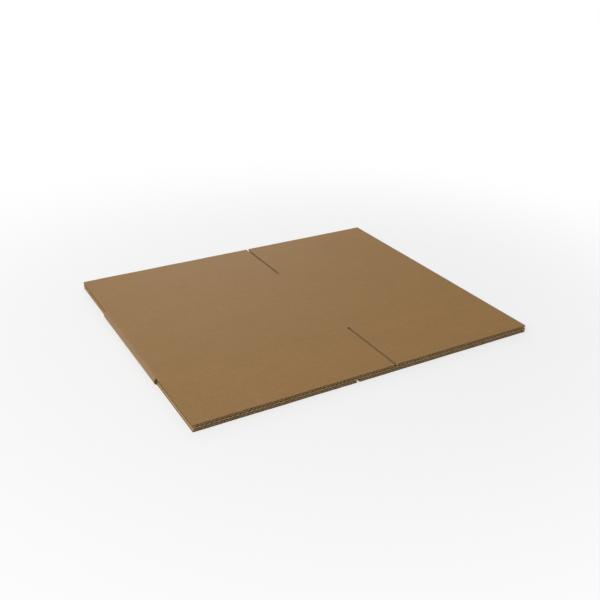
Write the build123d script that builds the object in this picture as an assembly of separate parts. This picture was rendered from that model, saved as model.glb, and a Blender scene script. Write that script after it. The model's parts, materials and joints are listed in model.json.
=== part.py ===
"""A slotted carton of double-wall corrugated board, knocked down flat.

One sheet is scored and slotted, folded over at two opposite corners and glued to itself at a third,
so that it lies as two layers of board. The upper layer shows a long and a short panel, the lower layer
a short and a long one, and each panel has a flap at both ends. The flutes run along Y, up the panels.

Frame: +X across the panels, +Y along the flutes, +Z up through the board. The origin is the middle of
the underside. Lengths are in millimetres.
"""
import os
from math import ceil, floor

from build123d import *

# Panels of the blank, measured from score to score
LONG_PANEL = 375.0
SHORT_PANEL = 300.0
PANEL_HEIGHT = 268.0

# Double-wall board: three liners, with a fine flute on the outside and a coarse one on the inside
BOARD = 6.6
LINER = 0.3
FINE_FLUTE_HEIGHT = 2.3
FINE_FLUTE_PITCH = 6.5
COARSE_FLUTE_PITCH = 7.9
FLUTE_CREST = 0.9
FLUTE_MOUTH = 12.0

# Cut sides of the flaps, where the flutes are slit lengthwise and the liners stand out as lips
SLIT_DEPTH = 1.6

# How the blank is slotted and folded
LAYER_GAP = 0.4
SLOT_WIDTH = 5.0
FOLD_OVERHANG = 5.0

# Scores: a shallow dish in the outer face and a deep crushed groove in the inner face
DISH_HALF_WIDTH = 3.0
DISH_DEPTH = 0.5
CREASE_HALF_WIDTH = 4.0
CREASE_FLOOR_HALF_WIDTH = 1.5
CREASE_DEPTH = 2.6
FOLD_EYE_TIP = 8.0

# The glued corner, where the long panel's tab lies in a crushed strip of the short panel
TAB_WIDTH = 35.0
TAB_THICKNESS = 3.3
TAB_END_INSET = 6.0
TAB_END_TAPER = 12.0
TAB_CLEARANCE = 1.0
JOINT_GAP = 3.0

# Sizes that follow
FLAP_DEPTH = SHORT_PANEL / 2
COARSE_FLUTE_HEIGHT = BOARD - 3 * LINER - FINE_FLUTE_HEIGHT
FLAT_WIDTH = LONG_PANEL + SHORT_PANEL
THICKNESS = 2 * BOARD + LAYER_GAP
FOLD_RADIUS = THICKNESS / 2
FOLD_CENTRE = FLAT_WIDTH / 2 - FOLD_RADIUS
FLAP_SCORE = PANEL_HEIGHT / 2
FREE_END = FLAP_SCORE + FLAP_DEPTH
FLAP_LIMIT = FLAT_WIDTH / 2 - FOLD_OVERHANG
UPPER_SCORE = LONG_PANEL - FLAT_WIDTH / 2
LOWER_JOINT = SHORT_PANEL - FLAT_WIDTH / 2

# Each layer of board, as its outer face and the way from there into the board
UPPER = (THICKNESS, -1)
LOWER = (0.0, 1)


def height(layer, depth):
    """Z at a depth below a layer's outer face."""
    outer_face, inward = layer
    return outer_face + inward * depth


def block(x_range, y_range, z_range):
    """A box between two corners, given as (low, high) ranges."""
    lows, highs = zip(x_range, y_range, z_range)
    lengths = [high - low for low, high in zip(lows, highs)]
    return Pos(*lows) * Box(*lengths, align=(Align.MIN, Align.MIN, Align.MIN))


def slab(layer, x_range, y_range, depths):
    """A box between two depths of a layer."""
    return block(x_range, y_range, sorted(height(layer, depth) for depth in depths))


def face_across_flutes(points):
    """A face in the XZ plane through the given (x, z) points."""
    return Face(Wire.make_polygon([(x, 0, z) for x, z in points]))


def along_flutes(face, y_range):
    """Pushes a face drawn in the XZ plane along Y."""
    start, end = y_range
    return extrude(Pos(0, start, 0) * face, amount=end - start, dir=(0, 1, 0))


def score_marks(layer):
    """The dish and the groove of a score, as (distance from the score line, z) outlines."""
    groove_floor = BOARD - CREASE_DEPTH
    dish = [(-DISH_HALF_WIDTH, 0), (DISH_HALF_WIDTH, 0), (0, DISH_DEPTH)]
    groove = [
        (-CREASE_HALF_WIDTH, BOARD),
        (CREASE_HALF_WIDTH, BOARD),
        (CREASE_FLOOR_HALF_WIDTH, groove_floor),
        (-CREASE_FLOOR_HALF_WIDTH, groove_floor),
    ]
    return [[(away, height(layer, depth)) for away, depth in mark] for mark in (dish, groove)]


def flap_score(layer, y):
    """Cutters for the score across a layer at y. The dish runs out over the folds, the groove doesn't."""
    cutters = []
    for mark, reach in zip(score_marks(layer), (FLAT_WIDTH / 2, FLAP_LIMIT)):
        outline = Face(Wire.make_polygon([(-reach, y + away, z) for away, z in mark]))
        cutters.append(extrude(outline, amount=2 * reach, dir=(1, 0, 0)))
    return cutters


def fold_eye(side):
    """Section of the hollow inside a fold, where the crushed groove closes on itself."""
    tip = face_across_flutes(
        [
            (-side * FOLD_EYE_TIP, FOLD_RADIUS),
            (0, FOLD_RADIUS + CREASE_DEPTH),
            (0, FOLD_RADIUS - CREASE_DEPTH),
        ]
    )
    round_end = Pos(0, 0, FOLD_RADIUS) * (Plane.XZ * Circle(CREASE_DEPTH))
    return Pos(side * FOLD_CENTRE, 0, 0) * (tip + round_end)


def panel_section():
    """Section of the panels from fold to fold: two layers, the gap between them and the plain score."""
    outline = Plane.XZ * SlotCenterToCenter(2 * FOLD_CENTRE, THICKNESS)
    between_layers = Plane.XZ * Rectangle(2 * FOLD_CENTRE, LAYER_GAP)
    section = Pos(0, 0, FOLD_RADIUS) * (outline - between_layers) - fold_eye(-1) - fold_eye(1)
    for mark in score_marks(UPPER):
        section -= Pos(UPPER_SCORE, 0, 0) * face_across_flutes(mark)
    return section


def glued_corner():
    """What is cut from the lower layer at the glued corner, and the tab that closes it."""
    seat_depth = BOARD - TAB_THICKNESS
    tab_root = LOWER_JOINT + JOINT_GAP / 2
    tab_tip = tab_root - TAB_WIDTH
    y_range = (-FLAP_SCORE, FLAP_SCORE)
    butt_gap = slab(LOWER, (tab_root - JOINT_GAP, tab_root), y_range, (0, BOARD))
    crushed_strip = slab(LOWER, (tab_tip - TAB_CLEARANCE, tab_root), y_range, (seat_depth, BOARD))

    root_reach = FLAP_SCORE - TAB_END_INSET
    tip_reach = root_reach - TAB_END_TAPER
    corners = [
        (tab_root, -root_reach, seat_depth),
        (tab_root, root_reach, seat_depth),
        (tab_tip, tip_reach, seat_depth),
        (tab_tip, -tip_reach, seat_depth),
    ]
    tab = extrude(Face(Wire.make_polygon(corners)), amount=TAB_THICKNESS, dir=(0, 0, 1))
    return [butt_gap, crushed_strip], tab


def flute_mouths(layer, x_range):
    """The open ends of a flap's flutes at +Y, clear of its two slit sides."""
    margin = SLIT_DEPTH + FLUTE_CREST
    low, high = x_range[0] + margin, x_range[1] - margin
    inner_liner = BOARD - LINER
    rows = [
        (FINE_FLUTE_PITCH, LINER, LINER + FINE_FLUTE_HEIGHT),
        (COARSE_FLUTE_PITCH, inner_liner, inner_liner - COARSE_FLUTE_HEIGHT),
    ]
    mouths = []
    for pitch, base_depth, apex_depth in rows:
        half_base = (pitch - FLUTE_CREST) / 2
        base, apex = height(layer, base_depth), height(layer, apex_depth)
        first = ceil((low + half_base) / pitch)
        last = floor((high - half_base) / pitch)
        for step in range(first, last + 1):
            x = step * pitch
            cell = face_across_flutes([(x - half_base, base), (x + half_base, base), (x, apex)])
            mouths.append(along_flutes(cell, (FREE_END - FLUTE_MOUTH, FREE_END)))
    return mouths


def slit_sides(layer, x_range):
    """Grooves that the slit flutes leave between the liners in a flap's two cut sides."""
    low, high = x_range
    y_range = (FLAP_SCORE + CREASE_HALF_WIDTH, FREE_END)
    inner_liner = BOARD - LINER
    rows = [(LINER, LINER + FINE_FLUTE_HEIGHT), (inner_liner - COARSE_FLUTE_HEIGHT, inner_liner)]
    sides = [(low, low + SLIT_DEPTH), (high - SLIT_DEPTH, high)]
    return [slab(layer, side, y_range, depths) for side in sides for depths in rows]


def back_flap(layer, x_range):
    """A flap at the +Y end, with its half of the score."""
    flap = slab(layer, x_range, (FLAP_SCORE, FREE_END), (0, BOARD))
    flap -= flap_score(layer, FLAP_SCORE)
    return flap - slit_sides(layer, x_range) - flute_mouths(layer, x_range)


def flap_ranges(division):
    """Where a layer's two flaps lie in X, to the left and to the right of its slot."""
    half_slot = SLOT_WIDTH / 2
    return (-FLAP_LIMIT, division - half_slot), (division + half_slot, FLAP_LIMIT)


def folded_blank():
    """Both layers' panels with their folds, the glued corner and the flaps of the lower layer."""
    blank = along_flutes(panel_section(), (-FLAP_SCORE, FLAP_SCORE))
    cutters, tab = glued_corner()
    blank = blank - cutters + tab
    for y in (-FLAP_SCORE, FLAP_SCORE):
        blank -= flap_score(UPPER, y) + flap_score(LOWER, y)
    for x_range in flap_ranges(LOWER_JOINT):
        flap = back_flap(LOWER, x_range)
        blank = blank + flap + mirror(flap, about=Plane.XZ)
    return blank


def upper_flaps():
    """The four flaps of the upper layer, by name. Each turns up about the bottom of its score's dish."""
    flaps = {}
    for name, x_range in zip(("long_flap", "short_flap"), flap_ranges(UPPER_SCORE)):
        flap = back_flap(UPPER, x_range)
        flaps[f"{name}_back"] = flap
        flaps[f"{name}_front"] = mirror(flap, about=Plane.XZ)
    return flaps


def main():
    """Writes one STEP file for each piece."""
    os.makedirs("parts", exist_ok=True)
    pieces = {"folded_blank": folded_blank(), **upper_flaps()}
    for name, shape in pieces.items():
        export_step(shape, f"parts/{name}.step")


main()
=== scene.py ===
"""Looks of a slotted carton of double-wall board, knocked down flat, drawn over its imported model.

Every paper of the board is a thin sheet of its own: an outer, a middle and an inner liner, with a fine
and a coarse fluting between them. A place in the board is given as it lies on the flat blank: how far
round it is from the middle of the top, how far up the flutes, and how deep below the outer face.
Lengths are in metres.
"""
import json
import math

import bpy
import numpy as np
from mathutils import Matrix, Vector


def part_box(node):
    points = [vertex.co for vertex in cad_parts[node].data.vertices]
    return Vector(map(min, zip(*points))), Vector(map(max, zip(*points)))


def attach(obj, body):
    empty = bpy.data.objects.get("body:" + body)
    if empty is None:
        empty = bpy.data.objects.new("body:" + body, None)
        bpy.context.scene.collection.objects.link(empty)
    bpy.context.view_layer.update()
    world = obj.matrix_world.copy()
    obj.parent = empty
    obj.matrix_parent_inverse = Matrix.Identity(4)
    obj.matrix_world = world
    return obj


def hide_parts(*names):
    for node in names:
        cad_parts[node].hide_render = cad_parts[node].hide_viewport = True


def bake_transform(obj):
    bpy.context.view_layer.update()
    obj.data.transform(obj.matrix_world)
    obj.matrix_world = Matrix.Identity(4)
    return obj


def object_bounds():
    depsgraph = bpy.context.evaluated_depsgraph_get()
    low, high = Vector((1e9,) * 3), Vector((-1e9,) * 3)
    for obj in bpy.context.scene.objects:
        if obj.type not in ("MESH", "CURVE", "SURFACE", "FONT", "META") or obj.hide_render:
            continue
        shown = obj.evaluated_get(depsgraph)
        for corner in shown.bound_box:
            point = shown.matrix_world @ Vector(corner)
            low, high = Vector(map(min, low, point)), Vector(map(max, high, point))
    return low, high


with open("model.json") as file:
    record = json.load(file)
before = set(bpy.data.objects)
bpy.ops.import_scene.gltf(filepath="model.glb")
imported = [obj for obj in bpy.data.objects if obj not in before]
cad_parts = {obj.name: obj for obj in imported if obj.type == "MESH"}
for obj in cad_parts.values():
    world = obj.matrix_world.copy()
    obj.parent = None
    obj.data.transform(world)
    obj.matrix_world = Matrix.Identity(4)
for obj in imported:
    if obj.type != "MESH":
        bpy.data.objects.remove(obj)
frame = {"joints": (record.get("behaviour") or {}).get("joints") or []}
CAD_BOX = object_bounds()

MM = 0.001

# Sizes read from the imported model
SCORES = {joint["child"]: joint for joint in frame["joints"]}
UPPER_FLAPS = {name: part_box(name) for name in SCORES}
LONG_LOW, LONG_HIGH = UPPER_FLAPS["long_flap_back"]
SHORT_LOW, SHORT_HIGH = UPPER_FLAPS["short_flap_back"]
THICKNESS = CAD_BOX[1].z
FREE_END = CAD_BOX[1].y
BOARD = LONG_HIGH.z - LONG_LOW.z
FLAP_SCORE = SCORES["long_flap_back"]["pos_m"][1]
FLAP_LIMIT = SHORT_HIGH.x
SLOT_START, SLOT_END = LONG_HIGH.x, SHORT_LOW.x
SLOT_MIDDLE = (SLOT_START + SLOT_END) / 2
FOLD_RADIUS = THICKNESS / 2
FOLD_START = CAD_BOX[1].x - FOLD_RADIUS
FOLD_LENGTH = math.pi * FOLD_RADIUS
HALF_ROUND = 2 * FOLD_START + FOLD_LENGTH

# Papers of the board
LINER = 0.3 * MM
FLUTING = 0.24 * MM
FINE_HEIGHT = 2.3 * MM
FINE_PITCH = 6.5 * MM
COARSE_PITCH = 7.9 * MM
MIDDLE_LINER = LINER + FINE_HEIGHT
COARSE_TOP = MIDDLE_LINER + LINER
COARSE_BOTTOM = BOARD - LINER

# The finishes, in the order of every piece's material slots
OUTSIDE, INSIDE, FLUTED, CUT = range(4)

# Heights of the rows on a piece's bake map, and what is left free between them
FULL_ROOM = 1
INNER_FACE_ROOM = 0.7
HIDDEN_ROOM = 0.1
CUT_ROOM = 0.012
MAP_MARGIN = 0.006

# Each liner's depth, and the finishes and the room on the map of its outer and its inner side
LINERS = [
    (0, (OUTSIDE, INSIDE), (FULL_ROOM, HIDDEN_ROOM)),
    (MIDDLE_LINER, (FLUTED, FLUTED), (HIDDEN_ROOM, HIDDEN_ROOM)),
    (COARSE_BOTTOM, (INSIDE, INSIDE), (HIDDEN_ROOM, INNER_FACE_ROOM)),
]

# Each fluting's name, pitch and depths
FLUTINGS = [
    ("fine_flutes", FINE_PITCH, LINER, MIDDLE_LINER),
    ("coarse_flutes", COARSE_PITCH, COARSE_TOP, COARSE_BOTTOM),
]

# Scores across the flutes and along them
DISH_DEPTH = 0.15 * MM
DISH_HALF_WIDTH = 4 * MM
CREASE_DEPTH = 2.6 * MM
CREASE_HALF_WIDTH = 4 * MM
SEAM = FLAP_SCORE - CREASE_HALF_WIDTH
BEND_END = FLAP_SCORE + CREASE_HALF_WIDTH

# The blank's flutes are drawn from a little inside its scores to its cut ends
FLUTES_INSIDE_SEAM = 12 * MM
FLUTING_START = SEAM - FLUTES_INSIDE_SEAM

# Folds, where the inner side is crushed
FOLD_CRUSH = 2.4 * MM
FOLD_RAMP = 8 * MM

# The glued corner
BUTT_GAP = 3 * MM
TAB_WIDTH = 35 * MM
TAB_THICKNESS = 3.3 * MM
TAB_JOGGLE = 3 * MM
TAB_END_INSET = 6 * MM
TAB_END_TAPER = 12 * MM
TAB_CLEARANCE = 1 * MM
GLUE = 0.05 * MM
SHORT_PANEL_END = -(HALF_ROUND - SLOT_MIDDLE - BUTT_GAP / 2)
LONG_PANEL_END = HALF_ROUND + SLOT_MIDDLE - BUTT_GAP / 2
TAB_TIP = LONG_PANEL_END + TAB_WIDTH
STRIP_START = SHORT_PANEL_END + TAB_WIDTH + TAB_CLEARANCE + BUTT_GAP
TAB_REACH = FLAP_SCORE - TAB_END_INSET

# The flaps' cut sides, round the blank
FLAP_EDGES = [
    -(HALF_ROUND - SLOT_END),
    -(HALF_ROUND - FLAP_LIMIT),
    -FLAP_LIMIT,
    SLOT_START,
    SLOT_END,
    FLAP_LIMIT,
    HALF_ROUND - FLAP_LIMIT,
    HALF_ROUND + SLOT_START,
]

# Warp of the panels: how far the upper layer sags and the lower one rises, and where that starts
UPPER_SAG = 0.22 * MM
LOWER_RISE = 0.12 * MM
WARP_FROM_FOLD = 20 * MM

# Marks of the knife: how far in they reach, how far the outer face dips and how much of that the inner
# face has less, how far the flutes lean, and how much quicker the wobble is down the cut than along it
KNIFE_REACH = 1.6 * MM
KNIFE_DIP = 0.3 * MM
DIP_LOST_INWARD = 1.4
KNIFE_LEAN = 0.35 * MM
WOBBLE_DOWN = 9

# How ragged the cut ends are, how far in that is evened out, and how much shorter each piece is cut
RAGGED = 0.15 * MM
TRIM_REACH = 8 * MM
TRIM = {
    "long_flap_front": 0.0 * MM,
    "long_flap_back": 0.5 * MM,
    "short_flap_front": 0.7 * MM,
    "short_flap_back": 0.1 * MM,
    "blank": 0.35 * MM,
}

# How far a flute sways from its place, in radians of its wave
FLUTE_SWAY = 0.25

# The longest and the shortest wave of each kind of unevenness, and the rows of it that are read
WARP_WAVES = (320 * MM, 70 * MM)
KNIFE_WAVES = (35 * MM, 6 * MM)
FLUTE_WAVES = (90 * MM, 14 * MM)
KNIFE_ROW = 0.2
LEAN_ROW = 0.1
SWAY_ROW = 0.3

# Widest steps of the grids that the papers are drawn on
FLAT_STEP = 12 * MM
TAB_STEP = 8 * MM
NEAR_TAB_STEP = 2 * MM
RAMP_STEP = 1.5 * MM
FOLD_STEP = 0.9 * MM
SCORE_STEP = 0.75 * MM
JOINT_STEP = 0.5 * MM
BEND_STEP = 0.5 * MM
FLUTE_SCORE_STEP = 1 * MM
FLUTE_BEND_STEP = 0.6 * MM
STRAIGHT_FLUTE_STEP = 50 * MM
STEPS_PER_FLUTE = 8

# The strips beside a cut, and the steps of the grids in them
SIDE_STRIP = 3 * MM
SIDE_STEP = 1.5 * MM
KNIFE_STRIP = 3 * MM
LINER_END_STEPS = (2 * MM, 0.75 * MM)
FLUTE_END_STEPS = (5 * MM, 1.5 * MM)

# Tolerances: of a length, of two grid lines that are one, and of a share of a grid step
TOLERANCE = 0.01 * MM
SAME_LINE = 0.001 * MM
STEP_TOLERANCE = 1e-6

# Edges sharper than this are drawn as edges, in degrees
SHARP_ANGLE = 62

# Colours of the papers
KRAFT_OUTSIDE = (0.28, 0.144, 0.037, 1)
KRAFT_INSIDE = (0.262, 0.145, 0.05, 1)
PALE_FIBRE = (0.42, 0.265, 0.115, 1)
DARK_FLECK = (0.12, 0.065, 0.025, 1)
# Paler kraft, mixed in at the worn cut edges and over the whole of each fold
PALE_KRAFT = (0.33, 0.232, 0.16, 1)
FLUTING_BROWN = (0.42, 0.275, 0.135, 1)
# The cut's colour at the outer face is partly brown kraft and partly painted shade, along the top edge and
# along the floor
CUT_OUTSIDE_KRAFT_AND_SHADE = (0.3, 0.19, 0.085, 1)
CUT_INSIDE = (0.66, 0.465, 0.25, 1)

# The uneven patches of kraft, from broad to fine: length round the box, width up it, contrast and relief
KRAFT_CLOUDS = [
    (120 * MM, 4 * MM, 0.02, 0.3 * MM),
    (90 * MM, 60 * MM, 0.035, 0.3 * MM),
    (16 * MM, 9 * MM, 0.05, 0.9 * MM),
    (5 * MM, 3 * MM, 0.05, 0.1 * MM),
    (0.8 * MM, 0.35 * MM, 0.05, 0.15 * MM),
]

# How the layers of fibres lean, in degrees, and how near its middle the noise draws one
FIBRE_LEANS = (7, -24, 41, -68)
FIBRE_EDGE = 0.06

# The middle of the noise, and how far from it the noise mostly stays
NOISE_MIDDLE = 0.5
NOISE_REACH = 0.25

# How far in from a cut edge the wear reaches, the size of its patches, and its share of the folds' paler
# tone
WEAR_REACH = 4 * MM
WEAR_SIZE = 14 * MM
EDGE_WEAR = 0.25

# How far from a fold's middle its paler tone starts and is full, in halves of the fold's length
FOLD_PALE_START, FOLD_PALE_FULL = 1.25, 0.7

# The tones of the clouds between which a dark fleck appears
FLECK_START, FLECK_FULL = 1.4, 1.7

# How narrow the ridges are where flutes show through, and how high they are on average
RIDGE_POWER = 2
MEAN_RIDGE = 0.4

# The photo's camera, fitted to corners and edges in the photo
PHOTO_SIDE = 600
FOCAL_PIXELS = 801
SENSOR_WIDTH = 36
CAMERA_AZIMUTH, CAMERA_ELEVATION, CAMERA_ROLL = -30.08, 26.29, 0.94
CAMERA_DISTANCE = 1.567
CAMERA_TARGET = Vector((0.0153, 0.0053, THICKNESS))

# Each lamp's name, place, size and watts, and the strength of the light from all round
LAMPS = [
    ("key_lamp", (-3.2, -1.2, 2.8), 2.2, 101),
    ("far_lamp", (0.5, 2.0, 0.7), 1.2, 10),
]
ROOM_LIGHT = 0.42
WHITE = (1, 1, 1, 1)

# The floor, which is seen partly white near the box and wholly white further away
FLOOR_REACH = 30
FLOOR_COLOUR = (0.9, 0.9, 0.9, 1)
FLOOR_ROUGHNESS = 0.9
FLOOR_NEAR, FLOOR_FAR = 0.35, 1.1
FLOOR_WHITE_NEAR = 0.6

rng = np.random.default_rng(11)


def wandering(longest, shortest, waves=7):
    """A smooth uneven function of a place, mostly between -1 and 1."""
    lengths = rng.uniform(shortest, longest, waves)
    headings = rng.uniform(0, math.pi, waves)
    starts = rng.uniform(0, 2 * math.pi, waves)

    def unevenness(around, up):
        total = 0
        for length, heading, start in zip(lengths, headings, starts):
            along = around * math.cos(heading) + up * math.sin(heading)
            total = total + np.sin(2 * math.pi * along / length + start)
        return np.clip(total / math.sqrt(waves), -1, 1)

    return unevenness


warp = wandering(*WARP_WAVES)
knife_wobble = wandering(*KNIFE_WAVES)
flute_wobble = wandering(*FLUTE_WAVES)


def raised(wave):
    """Lifts a wave between -1 and 1 to one between 0 and 1."""
    return 0.5 + 0.5 * wave


def smooth(share):
    """Eases from 0 to 1."""
    share = np.clip(share, 0, 1)
    return share * share * (3 - 2 * share)


def dent(share):
    """1 in the middle of a dent, falling smoothly to 0 where share is 1."""
    return raised(np.cos(math.pi * np.clip(np.abs(share), 0, 1)))


def halfway(share):
    """1 halfway between two faces, and 0 at both of them."""
    return 4 * share * (1 - share)


def crushed(around, up):
    """Depths of the board's outer and inner face, as the scores, folds and glued corner press it."""
    away = np.abs(up) - FLAP_SCORE
    outer = DISH_DEPTH * dent(away / DISH_HALF_WIDTH)
    inner = BOARD - CREASE_DEPTH * dent(away / CREASE_HALF_WIDTH)

    on_panel = np.abs(up) <= FLAP_SCORE
    away = around - SLOT_MIDDLE
    outer = np.maximum(outer, on_panel * DISH_DEPTH * dent(away / DISH_HALF_WIDTH))
    inner = np.minimum(inner, BOARD - on_panel * CREASE_DEPTH * dent(away / CREASE_HALF_WIDTH))

    away = np.abs(np.abs(around) - FOLD_START - FOLD_LENGTH / 2) - FOLD_LENGTH / 2
    inner = np.minimum(inner, BOARD - on_panel * FOLD_CRUSH * smooth(1 - away / FOLD_RAMP))

    strip = smooth((STRIP_START - around) / TAB_JOGGLE) * on_panel
    inner = np.minimum(inner, BOARD - strip * (TAB_THICKNESS + GLUE))
    joggle = smooth((around - LONG_PANEL_END + TAB_JOGGLE) / TAB_JOGGLE) * on_panel
    outer = np.maximum(outer, joggle * (BOARD - TAB_THICKNESS))
    return outer, inner


def flat_share(around, up):
    """1 on a flap, which lies flat beside the folds, and 0 on the panels, which go round them."""
    near = np.minimum(np.abs(around), HALF_ROUND - np.abs(around)) <= FLAP_LIMIT + TOLERANCE
    return near * smooth((np.abs(up) - SEAM) / CREASE_HALF_WIDTH)


def outer_face(around, up):
    """Where the outer face lies and the way into the board, as x, z, into x and into z."""
    side = np.sign(around)
    past = np.abs(around) - FOLD_START
    turn = np.clip(past / FOLD_RADIUS, 0, math.pi)
    below = np.maximum(past - FOLD_LENGTH, 0)
    x = side * (np.minimum(np.abs(around), FOLD_START) + FOLD_RADIUS * np.sin(turn) - below)
    z = FOLD_RADIUS * (1 + np.cos(turn))

    flat = flat_share(around, up)
    on_top = past < FOLD_LENGTH / 2
    flat_x = side * np.where(on_top, np.abs(around), HALF_ROUND - np.abs(around))
    flat_z = np.where(on_top, THICKNESS, 0)
    into_x = -side * np.sin(turn) * (1 - flat)
    into_z = -np.where(on_top, 1, -1) * flat - np.cos(turn) * (1 - flat)
    return x + (flat_x - x) * flat, z + (flat_z - z) * flat, into_x, into_z


def board_points(around, up, depth, trim):
    """Points of the board in the model's frame."""
    outer, inner = crushed(around, up)
    share = depth / BOARD
    to_end = FREE_END - np.abs(up)
    cut = np.exp(-to_end / KNIFE_REACH)
    side = np.sign(up)
    wobble = knife_wobble(around, depth * WOBBLE_DOWN + side * KNIFE_ROW)

    depth = outer + share * (inner - outer)
    depth = depth + cut * KNIFE_DIP * raised(wobble) * (1 - DIP_LOST_INWARD * share)
    x, z, into_x, into_z = outer_face(around, up)
    x = x + into_x * depth + cut * halfway(share) * KNIFE_LEAN * flute_wobble(around, side * LEAN_ROW)
    z = z + into_z * depth

    on_top = np.abs(around) < FOLD_START + FOLD_LENGTH / 2
    from_fold = smooth((FOLD_START - np.abs(x)) / WARP_FROM_FOLD)
    z = z + from_fold * raised(warp(around, up)) * np.where(on_top, -UPPER_SAG, LOWER_RISE)

    short = trim + RAGGED * raised(wobble)
    taper = np.clip((around - LONG_PANEL_END) / TAB_WIDTH, 0, 1) * TAB_END_TAPER / TAB_REACH
    y = (up - side * short * smooth(1 - to_end / TRIM_REACH)) * (1 - taper)
    return np.stack([x, y, z], axis=-1)


def lines(*stops):
    """Grid lines through every stop. Each stop comes with the widest step to the next one."""
    found = []
    for (start, step), (end, _) in zip(stops, stops[1:]):
        count = max(1, math.ceil((end - start) / step - STEP_TOLERANCE))
        found.extend(start + (end - start) * i / count for i in range(count))
    return np.array(found + [stops[-1][0]])


def joined(*runs):
    """Grid lines of several runs in a row, where each may start at the end of the one before."""
    found = list(runs[0])
    for run in runs[1:]:
        found.extend(run[1:] if run[0] - found[-1] < SAME_LINE else run)
    return np.array(found)


def mirrored(run):
    """The same grid lines on the other side of the middle."""
    return -run[::-1]


def at_end(side, run):
    """Grid lines up the back end, where side is 1, or the front end, where it is -1."""
    return run if side > 0 else mirrored(run)


def at_both_ends(run):
    """Grid lines up the back end together with those of the front end."""
    return joined(mirrored(run), run)


def cut_end(end_steps):
    """The last stops up a flap, closer where it was trimmed and closest beside the knife."""
    trim_step, knife_step = end_steps
    return (FREE_END - TRIM_REACH, trim_step), (FREE_END - KNIFE_STRIP, knife_step), (FREE_END, 0)


def with_flutes(stops, pitch):
    """Grid lines at every step of the flutes that isn't close to a stop, and through the stops."""
    step = pitch / STEPS_PER_FLUTE
    low, high = min(stops), max(stops)
    found = list(stops)
    for i in range(math.ceil(low / step), math.floor(high / step) + 1):
        if min(abs(i * step - stop) for stop in stops) > step / 4:
            found.append(i * step)
    return np.array(sorted(found))


def middles(stops):
    """Places halfway between grid lines."""
    return (stops[:-1] + stops[1:]) / 2


def shares_of_room(stops, taken):
    """Where grid lines lie on a map, from 0 to 1, with no room for the steps that aren't taken."""
    filled = np.concatenate([[0], np.cumsum(np.diff(stops) * taken)])
    return filled / filled[-1]


def cell_corners(numbers):
    """The numbers of every grid cell's four corners, once round the cell."""
    return numbers[:-1, :-1], numbers[1:, :-1], numbers[1:, 1:], numbers[:-1, 1:]


def quads(here, *corners):
    """Four-cornered faces at the cells that are marked as here."""
    return np.stack([corner[here] for corner in corners], axis=-1)


def new_object(name, data):
    """A new object in the scene."""
    made = bpy.data.objects.new(name, data)
    bpy.context.scene.collection.objects.link(made)
    return made


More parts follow.
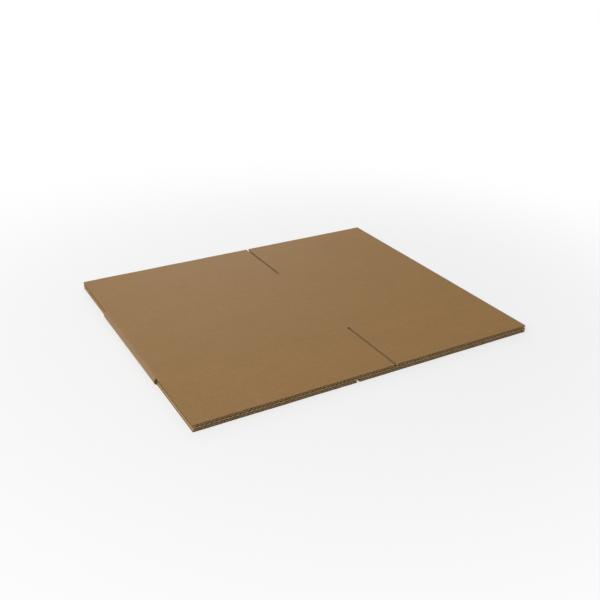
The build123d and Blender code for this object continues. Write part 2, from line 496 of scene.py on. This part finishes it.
class Papers:
    """Collects the papers of one piece and makes its mesh. On the piece's bake map every side of every
    paper is a row of its own."""

    def __init__(self, trim):
        self.trim = trim
        self.points, self.places, self.faces, self.finishes, self.spots = [], [], [], [], []
        self.count = 0
        self.map_height = 0

    def add(self, around, up, present, top, thickness, finishes, rooms):
        """One paper on the grid cells that are present, closed round its cut edges. top is its depth, or
        its depths at the grid lines round the blank. finishes and rooms are those of its two sides."""
        grid_around, grid_up = np.meshgrid(around, up, indexing="ij")
        cells = present(*np.meshgrid(middles(around), middles(up), indexing="ij"))
        rows, columns = grid_around.shape
        size = rows * columns
        numbers = np.arange(size).reshape(rows, columns)
        a, b, c, d = cell_corners(numbers)
        e, f, g, h = cell_corners(numbers + size)

        # Where each corner lies on the map, along the blank, up it and down through the paper
        map_around = np.tile(np.repeat(shares_of_room(around, cells.any(axis=1)), columns), 2)
        map_up = np.tile(shares_of_room(up, cells.any(axis=0)), 2 * rows)
        map_down = np.repeat([0, 1], size)

        wide = np.pad(cells, 1)
        sides = [
            (quads(cells, a, b, c, d), finishes[0], rooms[0], map_around, map_up),
            (quads(cells, e, h, g, f), finishes[1], rooms[1], map_around, map_up),
            (quads(cells & ~wide[:-2, 1:-1], a, d, h, e), CUT, CUT_ROOM, map_up, map_down),
            (quads(cells & ~wide[2:, 1:-1], b, f, g, c), CUT, CUT_ROOM, map_up, map_down),
            (quads(cells & ~wide[1:-1, :-2], a, e, f, b), CUT, CUT_ROOM, map_around, map_down),
            (quads(cells & ~wide[1:-1, 2:], d, c, g, h), CUT, CUT_ROOM, map_around, map_down),
        ]
        for made, finish, room, along, across in sides:
            self.finishes.append(np.full(len(made), finish))
            self.spots.append(np.stack([along[made], self.map_height + room * across[made]], axis=-1))
            self.map_height += room + MAP_MARGIN

        used, corners = np.unique(np.concatenate([side[0] for side in sides]), return_inverse=True)
        top_depths = np.broadcast_to(np.reshape(top, (-1, 1)), grid_around.shape)
        points, places = [], []
        for depths in (top_depths, top_depths + thickness):
            points.append(board_points(grid_around, grid_up, depths, self.trim).reshape(-1, 3))
            places.append(np.stack([grid_around, grid_up, depths], axis=-1).reshape(-1, 3))
        self.points.append(np.concatenate(points)[used])
        self.places.append(np.concatenate(places)[used])
        self.faces.append(corners.reshape(-1, 4) + self.count)
        self.count += len(used)

    def add_liners(self, around, up, present):
        """The outer, the middle and the inner liner."""
        for top, finishes, rooms in LINERS:
            self.add(around, up, present, top, LINER, finishes, rooms)

    def add_fluting(self, stops, up, present, pitch, top, bottom):
        """A fluted paper that touches the liners above and below it."""
        around = with_flutes(stops, pitch)
        wave = np.sin(2 * math.pi * around / pitch + FLUTE_SWAY * flute_wobble(around, SWAY_ROW))
        depths = top + (bottom - top - FLUTING) * raised(wave)
        self.add(around, up, present, depths, FLUTING, (FLUTED, FLUTED), (FULL_ROOM, FULL_ROOM))

    def piece(self, name, materials):
        """The mesh object, with its places on the blank kept as an attribute."""
        points, faces = np.concatenate(self.points), np.concatenate(self.faces)
        mesh = bpy.data.meshes.new(name)
        mesh.vertices.add(len(points))
        mesh.vertices.foreach_set("co", points.ravel())
        mesh.loops.add(faces.size)
        mesh.loops.foreach_set("vertex_index", faces.ravel())
        mesh.polygons.add(len(faces))
        mesh.polygons.foreach_set("loop_start", np.arange(0, faces.size, 4))
        mesh.update(calc_edges=True)
        mesh.polygons.foreach_set("material_index", np.concatenate(self.finishes))
        mesh.polygons.foreach_set("use_smooth", np.ones(len(faces), bool))
        mesh.set_sharp_from_angle(angle=math.radians(SHARP_ANGLE))
        kept = mesh.attributes.new("blank_place", "FLOAT_VECTOR", "POINT")
        kept.data.foreach_set("vector", np.concatenate(self.places).astype(np.float32).ravel())
        spots = np.concatenate(self.spots) / (1, self.map_height)
        bake_map = mesh.uv_layers.new(name="OFBake")
        bake_map.uv.foreach_set("vector", spots.astype(np.float32).ravel())
        for material in materials:
            mesh.materials.append(material)
        made = new_object(name, mesh)
        return made


def between(value, low, high):
    """Whether values lie between two limits."""
    return (value > low) & (value < high)


def on_upper_flap(around, up):
    """The flaps of the upper layer, each from just inside its score."""
    wide = between(around, -FLAP_LIMIT, SLOT_START) | between(around, SLOT_END, FLAP_LIMIT)
    return wide & (np.abs(up) > SEAM)


def on_lower_flap(around, up):
    """The flaps of the lower layer, each from its score."""
    short = between(around, -(HALF_ROUND - SLOT_END), -(HALF_ROUND - FLAP_LIMIT))
    long = between(around, HALF_ROUND - FLAP_LIMIT, HALF_ROUND + SLOT_START)
    return (short | long) & (np.abs(up) > FLAP_SCORE)


def on_blank(around, up):
    """Panels, folds, tab and lower flaps, without what turns up."""
    panels = between(around, SHORT_PANEL_END, LONG_PANEL_END) & (np.abs(up) < FLAP_SCORE)
    tab = between(around, LONG_PANEL_END, TAB_TIP) & (np.abs(up) < TAB_REACH)
    return (panels & ~on_upper_flap(around, up)) | tab | on_lower_flap(around, up)


def near_ends(around, up):
    """The parts of the blank whose flutes can be seen into."""
    return on_blank(around, up) & (np.abs(up) > FLUTING_START)


def everywhere(around, up):
    """The whole grid, for a flap that fills it."""
    return np.ones(around.shape, bool)


def around_blank():
    """Grid lines round the blank, close where it bends."""
    fold = lines(
        (FOLD_START - FOLD_RAMP, RAMP_STEP),
        (FOLD_START, FOLD_STEP),
        (FLAP_LIMIT, FOLD_STEP),
        (HALF_ROUND - FLAP_LIMIT, FOLD_STEP),
        (HALF_ROUND - FOLD_START, RAMP_STEP),
        (HALF_ROUND - FOLD_START + FOLD_RAMP, 0),
    )
    short_panel_below = lines(
        (SHORT_PANEL_END, JOINT_STEP),
        (-(HALF_ROUND - SLOT_END), TAB_STEP),
        (STRIP_START - TAB_JOGGLE, SCORE_STEP),
        (STRIP_START, FLAT_STEP),
        (-fold[-1], 0),
    )
    upper_layer = lines(
        (-fold[0], FLAT_STEP),
        (SLOT_MIDDLE - DISH_HALF_WIDTH, SCORE_STEP),
        (SLOT_START, SCORE_STEP),
        (SLOT_END, SCORE_STEP),
        (SLOT_MIDDLE + DISH_HALF_WIDTH, FLAT_STEP),
        (fold[0], 0),
    )
    long_panel_below = lines(
        (fold[-1], FLAT_STEP),
        (HALF_ROUND + SLOT_START - TAB_JOGGLE, SCORE_STEP),
        (HALF_ROUND + SLOT_START, JOINT_STEP),
        (LONG_PANEL_END, TAB_STEP),
        (TAB_TIP, 0),
    )
    return joined(short_panel_below, mirrored(fold), upper_layer, fold, long_panel_below)


def liners_up_flap(score_step):
    """Grid lines of the liners up a flap, from inside its score to its cut end."""
    score = (SEAM, score_step), (FLAP_SCORE, score_step), (BEND_END, FLAT_STEP)
    return lines(*score, *cut_end(LINER_END_STEPS))


def make_blank(finishes):
    """The folded blank: its liners as one piece, each fluting as another."""
    panel_up = lines((0, FLAT_STEP), (TAB_REACH, NEAR_TAB_STEP), (SEAM, 0))
    up = at_both_ends(joined(panel_up, liners_up_flap(SCORE_STEP)))
    liners = Papers(TRIM["blank"])
    liners.add_liners(around_blank(), up, on_blank)
    pieces = [liners.piece("folded_liners", finishes)]

    stops = [SHORT_PANEL_END, *FLAP_EDGES, LONG_PANEL_END, TAB_TIP]
    up = lines(
        (FLUTING_START, FLAT_STEP),
        (TAB_REACH, NEAR_TAB_STEP),
        (SEAM, FLUTE_SCORE_STEP),
        (FLAP_SCORE, FLUTE_SCORE_STEP),
        (BEND_END, STRAIGHT_FLUTE_STEP),
        *cut_end(FLUTE_END_STEPS),
    )
    for name, *fluting in FLUTINGS:
        flutes = Papers(TRIM["blank"])
        flutes.add_fluting(stops, at_both_ends(up), near_ends, *fluting)
        pieces.append(flutes.piece(f"folded_{name}", finishes))
    for made in pieces:
        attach(made, "blank")
    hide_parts("folded_blank")


def make_upper_flap(name, finishes):
    """A flap of the upper layer, from just inside its score to its cut end."""
    low, high = UPPER_FLAPS[name]
    side = 1 if low.y > 0 else -1
    across = lines(
        (low.x, SIDE_STEP),
        (low.x + SIDE_STRIP, FLAT_STEP),
        (high.x - SIDE_STRIP, SIDE_STEP),
        (high.x, 0),
    )
    liners = Papers(TRIM[name])
    liners.add_liners(across, at_end(side, liners_up_flap(BEND_STEP)), everywhere)

    up = lines((SEAM, FLUTE_BEND_STEP), (BEND_END, STRAIGHT_FLUTE_STEP), *cut_end(FLUTE_END_STEPS))
    flutes = Papers(TRIM[name])
    for _, *fluting in FLUTINGS:
        flutes.add_fluting([low.x, high.x], at_end(side, up), everywhere, *fluting)

    pieces = [liners.piece(f"{name}_liners", finishes), flutes.piece(f"{name}_flutes", finishes)]
    for made in pieces:
        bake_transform(made)
    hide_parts(name)


class Wiring:
    """Adds nodes to a material or a group. A node's input is a value or another node's output."""

    def __init__(self, tree):
        self.tree = tree

    def add(self, kind, inputs=(), **settings):
        """A new node of a kind, with its inputs fed and its settings made."""
        made = self.tree.nodes.new(f"ShaderNode{kind}")
        for name, value in settings.items():
            setattr(made, name, value)
        for name, value in dict(inputs).items():
            self.feed(made.inputs[name], value)
        return made

    def feed(self, socket, value):
        """Links an output to an input, or sets the input to a value."""
        if isinstance(value, bpy.types.NodeSocket):
            self.tree.links.new(value, socket)
        else:
            socket.default_value = value

    def math(self, operation, *values):
        """The result of a Math node."""
        return self.add("Math", enumerate(values), operation=operation).outputs[0]

    def plus(self, value, mask, by):
        """A value with a mask added to it, by so much."""
        return self.math("MULTIPLY_ADD", mask, by, value)

    def apart(self, value, other):
        """How far two values are from each other."""
        return self.math("ABSOLUTE", self.math("SUBTRACT", value, other))

    def multiplied(self, vector, by):
        """A vector or colour times another one."""
        return self.add("VectorMath", {0: vector, 1: by}, operation="MULTIPLY").outputs[0]

    def noise(self, place, detail):
        """Noise with cells of the size 1."""
        return self.add("TexNoise", {"Vector": place, "Scale": 1, "Detail": detail}).outputs["Fac"]

    def eased(self, value, low, high):
        """Goes smoothly from 0 to 1 as the value goes from low to high."""
        inputs = {"Value": value, "From Min": low, "From Max": high}
        return self.add("MapRange", inputs, interpolation_type="SMOOTHSTEP").outputs["Result"]

    def mixed(self, colour, other, mask, at_most=1):
        """A colour with another one mixed in, by at most the given share where the mask is 1."""
        made = self.add("Mix", data_type="RGBA")
        share = self.math("MULTIPLY", mask, at_most)
        for name, value in (("Factor_Float", share), ("A_Color", colour), ("B_Color", other)):
            self.feed(next(s for s in made.inputs if s.identifier == name), value)
        return next(s for s in made.outputs if s.identifier == "Result_Color")


class Effect(Wiring):
    """A shader node group that several finishes use. It reads a place on the blank and named numbers."""

    def __init__(self, name, numbers, outputs):
        super().__init__(bpy.data.node_groups.new(name, "ShaderNodeTree"))
        sockets = self.tree.interface
        sockets.new_socket("Place", in_out="INPUT", socket_type="NodeSocketVector")
        for title in numbers:
            sockets.new_socket(title, in_out="INPUT", socket_type="NodeSocketFloat")
        for title in outputs:
            sockets.new_socket(title, in_out="OUTPUT", socket_type="NodeSocketFloat")
        self.given = self.tree.nodes.new("NodeGroupInput").outputs
        self.result = self.tree.nodes.new("NodeGroupOutput").inputs

    def noise_in_cells(self, place, detail):
        """Noise in cells of the given length round the box and the given width up it."""
        per_length = self.math("DIVIDE", 1, self.given["Length"])
        per_width = self.math("DIVIDE", 1, self.given["Width"])
        scale = self.add("CombineXYZ", {0: per_length, 1: per_width, 2: per_width}).outputs[0]
        return self.noise(self.multiplied(place, scale), detail)


def make_paper_clouds():
    """The uneven thickness of paper, as a tone round 1."""
    effect = Effect("paper_clouds", ["Length", "Width", "Contrast"], ["Tone"])
    noise = effect.noise_in_cells(effect.given["Place"], detail=3)
    away = effect.math("MULTIPLY", effect.math("SUBTRACT", noise, NOISE_MIDDLE), 1 / NOISE_REACH)
    effect.feed(effect.result["Tone"], effect.plus(1, away, by=effect.given["Contrast"]))


def make_paper_fibres():
    """A felt of fibres that lie mostly round the box, as the paper ran through its machine."""
    effect = Effect("paper_fibres", ["Length", "Width"], ["Fibres"])
    total = 0
    for lean in FIBRE_LEANS:
        inputs = {"Vector": effect.given["Place"], "Angle": math.radians(lean)}
        leaning = effect.add("VectorRotate", inputs, rotation_type="Z_AXIS").outputs[0]
        away = effect.apart(effect.noise_in_cells(leaning, detail=1), NOISE_MIDDLE)
        total = effect.math("MAXIMUM", total, effect.eased(away, FIBRE_EDGE, 0))
    effect.feed(effect.result["Fibres"], total)


def make_flutes_showing():
    """The flutes that show through a liner: 1 where their tips hold it up, and 0 where it has sunk."""
    effect = Effect("flutes_showing", ["Pitch", "Shift"], ["Ridge"])
    around = effect.add("SeparateXYZ", {0: effect.given["Place"]}).outputs["X"]
    pitches = effect.math("DIVIDE", around, effect.given["Pitch"])
    turns = effect.math("SUBTRACT", pitches, effect.given["Shift"])
    wave = effect.math("COSINE", effect.math("MULTIPLY", turns, 2 * math.pi))
    lifted = effect.plus(0.5, wave, by=0.5)
    effect.feed(effect.result["Ridge"], effect.math("POWER", lifted, RIDGE_POWER))


def make_edge_fold_score_masks():
    """Masks of the flaps' cut edges, which hands, floors and other boxes rub, of the folds, and of the
    scores, where a painted shade darkens the crease.
    The flaps' sides count as a metre further away on the panels, as does the plain score on the flaps."""
    effect = Effect("handled_edges", ["Reach"], ["Edges", "Folds", "Scores"])
    place = effect.given["Place"]
    split = effect.add("SeparateXYZ", {0: place}).outputs
    around, up = split["X"], effect.math("ABSOLUTE", split["Y"])
    on_panel = effect.math("LESS_THAN", up, FLAP_SCORE)
    on_flap = effect.math("GREATER_THAN", up, FLAP_SCORE)

    patches = effect.noise(effect.multiplied(place, (1 / WEAR_SIZE,) * 3), detail=3)
    uneven = effect.math("MULTIPLY", patches, 1 / NOISE_MIDDLE)
    reach = effect.math("MULTIPLY", effect.given["Reach"], uneven)
    nearest = effect.math("SUBTRACT", FREE_END, up)
    for edge in FLAP_EDGES:
        beside = effect.math("ADD", effect.apart(around, edge), on_panel)
        nearest = effect.math("MINIMUM", nearest, beside)
    edges = effect.eased(effect.math("DIVIDE", nearest, reach), 1, 0)

    from_fold = effect.apart(effect.math("ABSOLUTE", around), HALF_ROUND / 2)
    from_fold = effect.math("DIVIDE", from_fold, FOLD_LENGTH / 2)
    # The folds, which are drawn paler over their whole width
    pale_share = effect.eased(from_fold, FOLD_PALE_START, FOLD_PALE_FULL)
    folds = effect.math("MULTIPLY", pale_share, on_panel)

    # The scores, for the painted shade in their crease
    from_plain_score = effect.math("ADD", effect.apart(around, SLOT_MIDDLE), on_flap)
    from_score = effect.math("MINIMUM", effect.apart(up, FLAP_SCORE), from_plain_score)
    scores = effect.eased(from_score, DISH_HALF_WIDTH, 0)

    for title, mask in (("Edges", edges), ("Folds", folds), ("Scores", scores)):
        effect.feed(effect.result[title], mask)


class Finish(Wiring):
    """A finish of paper: a new material with its shader, and the place on the blank that it reads."""

    def __init__(self, name):
        self.material = bpy.data.materials.new(name)
        self.material.use_nodes = True
        super().__init__(self.material.node_tree)
        self.shader = self.tree.nodes["Principled BSDF"].inputs
        self.place = self.add("Attribute", attribute_name="blank_place").outputs["Vector"]

    def effect(self, name, **numbers):
        """The outputs of an effect at this finish's place, with its numbers given by name."""
        inputs = {"Place": self.place, **{title.capitalize(): value for title, value in numbers.items()}}
        return self.add("Group", inputs, node_tree=bpy.data.node_groups[name]).outputs

    def close(self, colour, tone, roughness, gloss, height):
        """Feeds the shader, with the colour times its tone and a relief of the given height, and gives
        the material."""
        self.feed(self.shader["Base Color"], self.multiplied(colour, tone))
        self.feed(self.shader["Roughness"], roughness)
        self.feed(self.shader["Specular IOR Level"], gloss)
        bump = self.add("Bump", {"Distance": 1, "Height": height})
        self.feed(self.shader["Normal"], bump.outputs[0])
        return self.material


def kraft_liner(name, kraft, pitch, shift, sunk, showing):
    """Brown kraft liner over the flutes. shift is where their tips lie, in pitches. sunk is how far the
    paper dips between them, in metres, and showing how much darker it is there."""
    finish = Finish(name)
    felt = finish.effect("paper_fibres", length=3.2 * MM, width=0.22 * MM)["Fibres"]
    specks = finish.effect("paper_clouds", length=2.4 * MM, width=0.5 * MM, contrast=1)["Tone"]
    flecks = finish.eased(specks, FLECK_START, FLECK_FULL)
    ridge = finish.effect("flutes_showing", pitch=pitch, shift=shift)["Ridge"]
    line_masks = finish.effect("handled_edges", reach=WEAR_REACH)
    pale_share = finish.math("MAXIMUM", finish.math("MULTIPLY", line_masks["Edges"], EDGE_WEAR), line_masks["Folds"])

    colour = finish.mixed(kraft, PALE_FIBRE, felt, at_most=0.3)
    colour = finish.mixed(colour, DARK_FLECK, flecks, at_most=0.5)
    # Paler at the worn cut edges and over the whole of each fold
    colour = finish.mixed(colour, PALE_KRAFT, pale_share, at_most=0.5)
    tone = finish.plus(1 - MEAN_RIDGE * showing, ridge, by=showing)
    # Painted shade: a little darker along the scores, in the crease
    tone = finish.plus(tone, line_masks["Scores"], by=-0.02)
    height = finish.plus(0, felt, by=0.025 * MM)
    height = finish.plus(height, ridge, by=sunk)
    for length, width, contrast, relief in KRAFT_CLOUDS:
        cloud = finish.effect("paper_clouds", length=length, width=width, contrast=contrast)["Tone"]
        tone = finish.math("MULTIPLY", tone, cloud)
        height = finish.plus(height, cloud, by=relief)
    roughness = finish.plus(0.6, felt, by=0.08)
    roughness = finish.plus(roughness, pale_share, by=0.06)
    return finish.close(colour, tone, roughness, gloss=0.25, height=height)


def fluting_paper():
    """The greyer paper of the flutes, soft and matt."""
    finish = Finish("fluting_paper")
    tone = finish.effect("paper_clouds", length=12 * MM, width=8 * MM, contrast=0.06)["Tone"]
    felt = finish.effect("paper_fibres", length=2 * MM, width=0.25 * MM)["Fibres"]
    colour = finish.mixed(FLUTING_BROWN, PALE_FIBRE, felt, at_most=0.2)
    roughness = finish.plus(0.8, felt, by=0.06)
    height = finish.plus(0, felt, by=0.03 * MM)
    return finish.close(colour, tone, roughness, gloss=0.3, height=height)


def cut_edge():
    """Raw paper where the knife went through it, fuzzy with torn fibres, darker towards the outer face and
    paler in the papers further in. The darker outer side is partly brown kraft in the outer liner and
    partly painted shade along the top edge and along the floor."""
    finish = Finish("cut_edge")
    torn = finish.effect("paper_clouds", length=0.5 * MM, width=0.5 * MM, contrast=0.3)["Tone"]
    along = finish.effect("paper_clouds", length=20 * MM, width=20 * MM, contrast=0.12)["Tone"]
    depth = finish.add("SeparateXYZ", {0: finish.place}).outputs["Z"]
    # Darker towards the outer face: partly brown kraft, partly painted shade along the top edge and the
    # floor
    colour = finish.mixed(CUT_OUTSIDE_KRAFT_AND_SHADE, CUT_INSIDE, finish.eased(depth, 0, BOARD))
    tone = finish.math("MULTIPLY", torn, along)
    height = finish.plus(0, torn, by=0.1 * MM)
    return finish.close(colour, tone, roughness=0.9, gloss=0.2, height=height)


def make_finishes():
    """The finishes, in the order of the material slots. The tips of the fine flutes touch the outer liner,
    and those of the coarse flutes the inner one."""
    make_paper_clouds()
    make_paper_fibres()
    make_flutes_showing()
    make_edge_fold_score_masks()
    fine = {"pitch": FINE_PITCH, "shift": 0.75, "sunk": 0.08 * MM, "showing": 0.03}
    coarse = {"pitch": COARSE_PITCH, "shift": 0.25, "sunk": 0.06 * MM, "showing": 0.05}
    return [
        kraft_liner("kraft_outside", KRAFT_OUTSIDE, **fine),
        kraft_liner("kraft_inside", KRAFT_INSIDE, **coarse),
        fluting_paper(),
        cut_edge(),
    ]


def make_camera():
    """The camera that stands where the photo's stood."""
    azimuth, elevation, roll = map(math.radians, (CAMERA_AZIMUTH, CAMERA_ELEVATION, CAMERA_ROLL))
    level = math.cos(elevation)
    back = Vector((math.sin(azimuth) * level, -math.cos(azimuth) * level, math.sin(elevation)))
    right = (-back).cross(Vector((0, 0, 1))).normalized()
    up = right.cross(-back)
    rolled_right = math.cos(roll) * right + math.sin(roll) * up
    rolled_up = math.cos(roll) * up - math.sin(roll) * right
    data = bpy.data.cameras.new("camera")
    data.sensor_width = SENSOR_WIDTH
    data.lens = data.sensor_width * FOCAL_PIXELS / PHOTO_SIDE
    made = new_object("camera", data)
    turned = Matrix((rolled_right, rolled_up, back)).transposed().to_4x4()
    made.matrix_world = Matrix.Translation(CAMERA_TARGET + back * CAMERA_DISTANCE) @ turned
    bpy.context.scene.camera = made


def make_lamp(name, stand, size, watts):
    """A large soft lamp that faces the box."""
    data = bpy.data.lights.new(name, "AREA")
    data.size = size
    data.energy = watts
    made = new_object(name, data)
    made.location = stand
    made.rotation_euler = (-Vector(stand)).to_track_quat("-Z", "Y").to_euler()


def looked_at(wiring):
    """1 for rays that come from the camera, straight or by way of gloss or glass, and 0 for light."""
    rays = wiring.add("LightPath").outputs
    looked = rays["Is Camera Ray"]
    for kind in ("Is Glossy Ray", "Is Transmission Ray"):
        looked = wiring.math("MAXIMUM", looked, rays[kind])
    return looked


def make_floor():
    """A pale floor that takes the box's shadow and turns white further away."""
    reach = FLOOR_REACH
    corners = [(-reach, -reach, 0), (reach, -reach, 0), (reach, reach, 0), (-reach, reach, 0)]
    mesh = bpy.data.meshes.new("floor")
    mesh.from_pydata(corners, [], [(0, 1, 2, 3)])
    material = bpy.data.materials.new("floor")
    material.use_nodes = True
    wiring, nodes = Wiring(material.node_tree), material.node_tree.nodes
    shader = nodes["Principled BSDF"]
    shader.inputs["Base Color"].default_value = FLOOR_COLOUR
    shader.inputs["Roughness"].default_value = FLOOR_ROUGHNESS
    spot = wiring.add("NewGeometry").outputs["Position"]
    away = wiring.add("VectorMath", {0: spot}, operation="LENGTH").outputs["Value"]
    further = wiring.eased(away, FLOOR_NEAR, FLOOR_FAR)
    white = wiring.plus(FLOOR_WHITE_NEAR, further, by=1 - FLOOR_WHITE_NEAR)
    seen = wiring.math("MULTIPLY", looked_at(wiring), white)
    glow = wiring.add("Emission").outputs[0]
    mix = wiring.add("MixShader", {0: seen, 1: shader.outputs[0], 2: glow})
    wiring.feed(nodes["Material Output"].inputs["Surface"], mix.outputs[0])
    mesh.materials.append(material)
    made = new_object("floor", mesh)


def make_world():
    """Even light from all round, white where it is looked at."""
    world = bpy.data.worlds.new("studio")
    bpy.context.scene.world = world
    world.use_nodes = True
    wiring, nodes = Wiring(world.node_tree), world.node_tree.nodes
    room = nodes["Background"]
    room.inputs["Color"].default_value = WHITE
    room.inputs["Strength"].default_value = ROOM_LIGHT
    seen = wiring.add("Background", {"Color": WHITE}).outputs[0]
    mix = wiring.add("MixShader", {0: looked_at(wiring), 1: room.outputs[0], 2: seen})
    wiring.feed(nodes["World Output"].inputs["Surface"], mix.outputs[0])


finishes = make_finishes()
make_blank(finishes)
for flap in UPPER_FLAPS:
    make_upper_flap(flap, finishes)
make_camera()
make_floor()
make_world()
for name, stand, size, watts in LAMPS:
    make_lamp(name, stand, size, watts)
bpy.context.scene.view_settings.view_transform = "Standard"
